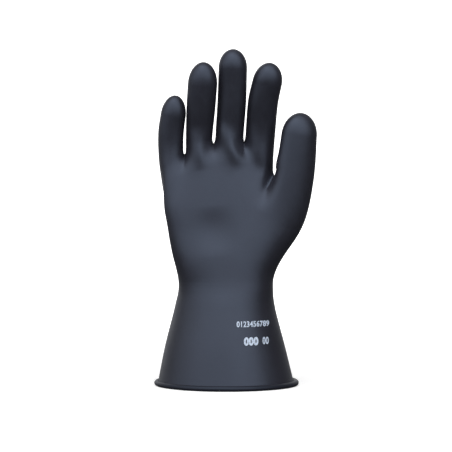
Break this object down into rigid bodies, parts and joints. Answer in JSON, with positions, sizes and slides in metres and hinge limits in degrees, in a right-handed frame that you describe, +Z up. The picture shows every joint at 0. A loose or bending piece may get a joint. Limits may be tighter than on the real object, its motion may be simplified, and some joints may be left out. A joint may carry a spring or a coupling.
{
  "type": "electrical insulating glove",
  "caption": "Right-hand rubber insulating glove with a flared gauntlet cuff, a rolled cuff bead and lightly curled fingers, standing upright on its cuff.",
  "frame": {"origin": "centre of the bounding box, on the surface that the cuff bead stands on", "axes": "+Z up from the cuff to the fingertips, palm faces -Y, thumb at +X"},
  "size_m": [0.1373, 0.1158, 0.2815],
  "materials": {
    "film_rubber": "satin bluish-black dipped rubber, unlined, lightly dusted",
    "bead_rubber": "satin bluish-black rubber, rolled edge"
  },
  "bodies": {
    "cuff": {"gauntlet_cuff": "film_rubber", "rolled_cuff_bead": "bead_rubber"},
    "hand": {"hand_shell": "film_rubber"},
    "little_finger_base": {"little_finger_base": "film_rubber"},
    "little_finger_tip": {"little_finger_tip": "film_rubber"},
    "ring_finger_base": {"ring_finger_base": "film_rubber"},
    "ring_finger_tip": {"ring_finger_tip": "film_rubber"},
    "middle_finger_base": {"middle_finger_base": "film_rubber"},
    "middle_finger_tip": {"middle_finger_tip": "film_rubber"},
    "index_finger_base": {"index_finger_base": "film_rubber"},
    "index_finger_tip": {"index_finger_tip": "film_rubber"},
    "thumb_base": {"thumb_base": "film_rubber"},
    "thumb_tip": {"thumb_tip": "film_rubber"}
  },
  "joints": [
    {"name": "wrist_flex", "type": "hinge", "parent": "cuff", "child": "hand", "pos_m": [-0.0075, 0, 0.08], "axis": [1, 0, 0], "range_deg": [-35, 45], "stiffness_Nm_per_rad": 3},
    {"name": "little_finger_root_flex", "type": "hinge", "parent": "hand", "child": "little_finger_base", "pos_m": [-0.054, -0.01302, 0.19572], "axis": [0.9995, -0.0039, 0.0324], "range_deg": [0, 60], "stiffness_Nm_per_rad": 0.3},
    {"name": "little_finger_middle_flex", "type": "hinge", "parent": "little_finger_base", "child": "little_finger_tip", "pos_m": [-0.05307, -0.01697, 0.21667], "axis": [0.99, 0.0357, -0.1365], "range_deg": [0, 75], "stiffness_Nm_per_rad": 0.3},
    {"name": "ring_finger_root_flex", "type": "hinge", "parent": "hand", "child": "ring_finger_base", "pos_m": [-0.03029, -0.01424, 0.20347], "axis": [0.9998, 0.0023, -0.0199], "range_deg": [0, 60], "stiffness_Nm_per_rad": 0.3},
    {"name": "ring_finger_middle_flex", "type": "hinge", "parent": "ring_finger_base", "child": "ring_finger_tip", "pos_m": [-0.02827, -0.02358, 0.23403], "axis": [0.9974, 0.0155, -0.07], "range_deg": [0, 75], "stiffness_Nm_per_rad": 0.3},
    {"name": "middle_finger_root_flex", "type": "hinge", "parent": "hand", "child": "middle_finger_base", "pos_m": [-0.0047, -0.01556, 0.2053], "axis": [0.9993, 0.0041, -0.0377], "range_deg": [0, 60], "stiffness_Nm_per_rad": 0.3},
    {"name": "middle_finger_middle_flex", "type": "hinge", "parent": "middle_finger_base", "child": "middle_finger_tip", "pos_m": [-0.00241, -0.02314, 0.24059], "axis": [0.9993, 0.0086, -0.0359], "range_deg": [0, 75], "stiffness_Nm_per_rad": 0.3},
    {"name": "index_finger_root_flex", "type": "hinge", "parent": "hand", "child": "index_finger_base", "pos_m": [0.0211, -0.01558, 0.20522], "axis": [0.9976, 0.0086, -0.0687], "range_deg": [0, 60], "stiffness_Nm_per_rad": 0.3},
    {"name": "index_finger_middle_flex", "type": "hinge", "parent": "index_finger_base", "child": "index_finger_tip", "pos_m": [0.02354, -0.02297, 0.23507], "axis": [0.9907, 0.0337, -0.1317], "range_deg": [0, 75], "stiffness_Nm_per_rad": 0.3},
    {"name": "thumb_root_flex", "type": "hinge", "parent": "hand", "child": "thumb_base", "pos_m": [0.04883, -0.02531, 0.18117], "axis": [0.9786, -0.132, -0.1579], "range_deg": [0, 30], "stiffness_Nm_per_rad": 0.3},
    {"name": "thumb_middle_flex", "type": "hinge", "parent": "thumb_base", "child": "thumb_tip", "pos_m": [0.05152, -0.02541, 0.20491], "axis": [0.9862, -0.1354, -0.0954], "range_deg": [0, 35], "stiffness_Nm_per_rad": 0.3}
  ]
}
